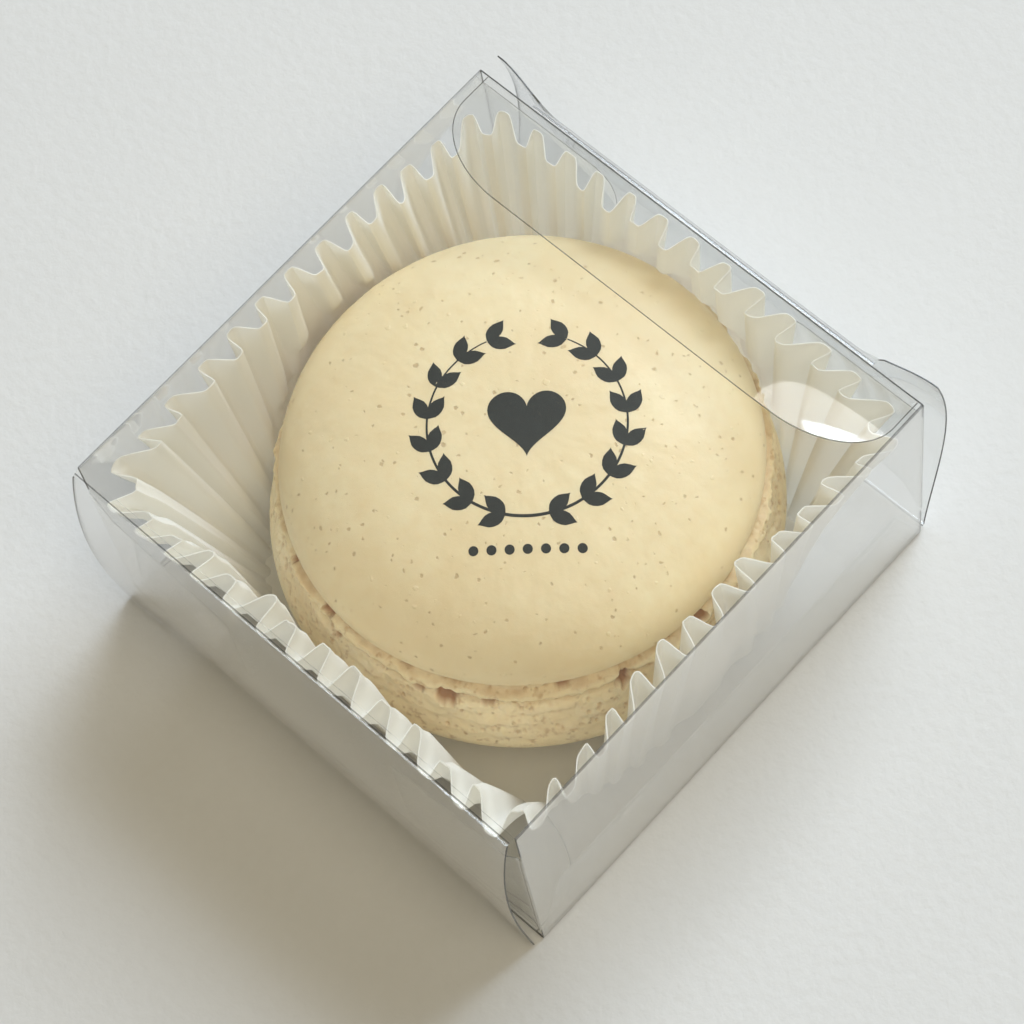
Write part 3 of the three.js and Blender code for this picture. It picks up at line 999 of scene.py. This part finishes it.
def makeStem(side):
    s = printSettings
    sweep = math.pi - s["opening"]

    def place(up, along):
        angle = -math.pi / 2 + side * sweep * along
        width = s["stem"] * (1 - 0.6 * along)
        return Vector((math.cos(angle), math.sin(angle), 0)) * (s["wreath"] + (up - 0.5) * width)

    stem = layGrid("stem", 1, 60, place)
    if side > 0:
        stem.data.flip_normals()
    return stem


# Pleated paper cup

cupSettings = {
    "paper": 0.1 * mm,
    "flutes": 52, "columns": 18, "floorRows": 8, "wallRows": 34,
    "floor": 1.6 * mm, "top": 25.2 * mm, "cornerDrop": 3.4 * mm,
    "pleat": 2.4 * mm, "floorPleat": 0.5 * mm, "leastPleat": 0.5 * mm, "clearance": 0.3 * mm,
    "half": 24.6 * mm, "corner": 3.8 * mm,
    "floorX": 0.3 * mm, "floorY": -0.5 * mm, "floorRadiusX": 20.8 * mm, "floorRadiusY": 21 * mm,
    "floorFullness": 3.2,
    # the rim leans on the rear panel, over the dust flaps
    "rearFlare": 0.6 * mm, "flareHeights": (21.3 * mm, 23.4 * mm), "flareReach": (20 * mm, 24.3 * mm),
    # where the macaron presses the wall: its foot, the room over that, and the lower shell's waist
    "footReach": 22.0 * mm, "domeSpare": 0.6 * mm, "waist": 12 * mm, "waistSpare": 0.1 * mm,
    "head": 0.26, "round": 0.2,  # the flat heads of the pleats, and how round their flanks are
    "jitter": 0.22, "swell": 0.2, "lift": 0.35 * mm,
    "floorWave": 0.06 * mm, "floorWaveSize": 5 * mm,
}


def aroundTop(share):  # walks round the cup's top edge, from the middle of its +X side
    s = cupSettings
    flat = s["half"] - s["corner"]
    quarter = math.pi / 2 * s["corner"]
    place = Vector((s["half"], 0))
    heading = Vector((0, 1))
    left = share * (8 * flat + 4 * quarter)
    for length in (flat, 2 * flat, 2 * flat, 2 * flat, flat):
        step = min(left, length)
        place = place + heading * step
        left -= step
        if left <= 0:
            break
        inward = Vector((-heading.y, heading.x))
        turn = min(left, quarter) / s["corner"]
        centre = place + inward * s["corner"]
        place = centre - inward * s["corner"] * math.cos(turn) + heading * s["corner"] * math.sin(turn)
        left -= quarter
        if left <= 0:
            break
        heading = inward
    return place


def bulge(wave):  # flattens a circle's four sides
    return math.copysign(abs(wave) ** (2 / cupSettings["floorFullness"]), wave)


def macaronReach(z):  # how far the macaron reaches from the lower shell's middle at a height
    low, top, s = bottomSettings, topSettings, cupSettings
    if z < low["rim"]:
        share = min(1, (low["rim"] - z) / (low["rim"] - low["pole"]))
        return low["radius"] * (1 - share ** 2) ** (1 / low["fullness"])
    foot = lerp(low["radius"] + s["waistSpare"], s["footReach"], smooth(z, s["waist"], low["seam"]))
    share = min(1, max(0, (z - top["rim"]) / (top["pole"] - top["rim"])))
    over = (top["radius"] + s["domeSpare"]) * (1 - share ** 2) ** (1 / top["fullness"])
    return lerp(foot, over, smooth(z, top["rim"] - mm, top["rim"] + s["domeSpare"]))


def drawFolds(seed):
    draw = random.Random(seed)
    s = cupSettings
    folds = []
    for k in range(2 * s["flutes"]):
        folds.append((k + draw.uniform(-1, 1) * s["jitter"],
                      1 + draw.uniform(-1, 1) * s["swell"],
                      draw.uniform(-1, 1) * s["lift"]))
    first = folds[0]
    folds.append((first[0] + len(folds), first[1], first[2]))
    last = folds[-2]
    folds.insert(0, (last[0] - 2 * s["flutes"], last[1], last[2]))
    return folds


cupFolds = drawFolds(11)


def flutedAt(share):  # how far out the pleated wall is, 0 to 1, its depth's share, and its lift
    s = cupSettings
    along = share * 2 * s["flutes"]
    k = int(along)
    while cupFolds[k + 1][0] < along:
        k += 1
    while cupFolds[k][0] > along:
        k -= 1
    near, far = cupFolds[k], cupFolds[k + 1]
    part = (along - near[0]) / (far[0] - near[0])
    steep = smooth(part, s["head"], 1 - s["head"])
    bend = lerp(steep, (1 - math.cos(math.pi * part)) / 2, s["round"])
    out = bend if k % 2 == 0 else 1 - bend
    return out, lerp(near[1], far[1], part), lerp(near[2], far[2], part)


def cupPoint(up, along):
    s = cupSettings
    rows = s["floorRows"] + s["wallRows"]
    floorShare = s["floorRows"] / rows
    angle = 2 * math.pi * along
    onFloor = Vector((s["floorX"] + s["floorRadiusX"] * bulge(math.cos(angle)),
                      s["floorY"] + s["floorRadiusY"] * bulge(math.sin(angle))))
    level = max(0, (up - floorShare) / (1 - floorShare))
    out, swell, lift = flutedAt(along % 1)
    z = lerp(s["floor"], s["top"], level)
    centre = (bottomSettings["centre"] - Vector((middleX, 0, 0))).xy
    edge = aroundTop(along % 1)
    away = onFloor.lerp(edge, level) - centre
    keepOut = macaronReach(z) + s["clearance"]
    outer = max(away.length, keepOut + s["leastPleat"])
    depth = min(lerp(s["floorPleat"], s["pleat"], level) * swell, outer - keepOut)
    place = centre + away * ((outer - depth * (1 - out)) / away.length)
    place.x -= s["rearFlare"] * smooth(z, *s["flareHeights"]) * smooth(-place.x, *s["flareReach"])
    cornerness = (edge.length / s["half"] - 1) / (math.sqrt(2) - 1)
    z += lift * level - s["cornerDrop"] * cornerness * level ** 2
    if up < floorShare:
        middle = Vector((s["floorX"], s["floorY"]))
        share = up / floorShare
        place = middle.lerp(place, share)
        wave = noise.noise(Vector((place.x, place.y, 0)) / s["floorWaveSize"])
        z += s["floorWave"] * wave * (1 - share ** 6)
    return Vector((place.x + middleX, place.y, z))


def paperMaterial():
    material, wire = newMaterial("cupPaper")
    place = wire.add("TexCoord", output="Object")
    fibre = wire.add("TexNoise", None, {"Vector": place, "Scale": 900, "Detail": 5})
    cloud = wire.add("TexNoise", None, {"Vector": place, "Scale": 120, "Detail": 3})
    colour = wire.mixed(tone(255, 255, 253), tone(252, 251, 245), cloud * 0.6 + fibre * 0.4)
    bump = wire.add("Bump", None, {"Height": fibre, "Strength": 0.3, "Distance": 0.03 * mm})
    paper = wire.add("BsdfPrincipled", None, {
        "Base Color": colour, "Roughness": 0.55, "Normal": bump})
    through = wire.add("BsdfTranslucent", None, {"Color": tone(254, 253, 250)})
    surface(wire, wire.add("MixShader", None, {0: 0.42, 1: paper, 2: through}))
    return material


def makeCup():
    print("paper cup")
    s = cupSettings
    cup = layGrid("paperCup", s["floorRows"] + s["wallRows"], s["flutes"] * s["columns"], cupPoint)
    weld(cup, outward=True)
    modify(cup, "SOLIDIFY", thickness=s["paper"], offset=0, use_even_offset=False)
    finishPiece(cup, [paperMaterial()], "carton", ["liner"])


# Crumbs that lie on the cup's floor

looseSettings = {
    "count": 26, "small": 0.10 * mm, "large": 0.26 * mm,
    "centreX": 2.0 * mm + middleX, "centreY": -0.6 * mm, "inner": 17.5 * mm, "outer": 20.5 * mm,
}


def makeCrumbs():
    print("crumbs")
    s = looseSettings
    draw = random.Random(5)
    made = []
    for _ in range(s["count"]):
        size = lerp(s["small"], s["large"], draw.random() ** 2)
        angle = draw.uniform(0, 2 * math.pi)
        radius = draw.uniform(s["inner"], s["outer"])
        place = (s["centreX"] + radius * math.cos(angle), s["centreY"] + radius * math.sin(angle),
                 cupSettings["floor"] + cupSettings["paper"] + size * 0.6)
        startClean()
        bpy.ops.mesh.primitive_ico_sphere_add(subdivisions=2, radius=size, location=place)
        crumb = bpy.context.object
        bpy.ops.object.transform_apply(location=True)
        for vertex in crumb.data.vertices:
            vertex.co += 0.35 * size * noise.noise_vector(vertex.co / (size * 0.9))
        made.append(crumb)
    startClean()
    for crumb in made:
        crumb.select_set(True)
    bpy.context.view_layer.objects.active = made[0]
    bpy.ops.object.join()
    heap = newest("crumbs")
    material, wire = newMaterial("crumb")
    place = wire.add("TexCoord", output="Object")
    mottle = wire.add("TexNoise", None, {"Vector": place, "Scale": 3000})
    colour = wire.mixed(tone(250, 244, 226), tone(232, 214, 176), mottle)
    surface(wire, wire.add("BsdfPrincipled", None, {"Base Color": colour, "Roughness": 0.6}))
    finishPiece(heap, [material], "carton")


makeCamera()
makeStudio()
makeSleeve()
makeGlueTab()
makeEnds()
dome = makeMacaron()
makePrint(dome)
makeCup()
makeCrumbs()
startClean()

print("done")
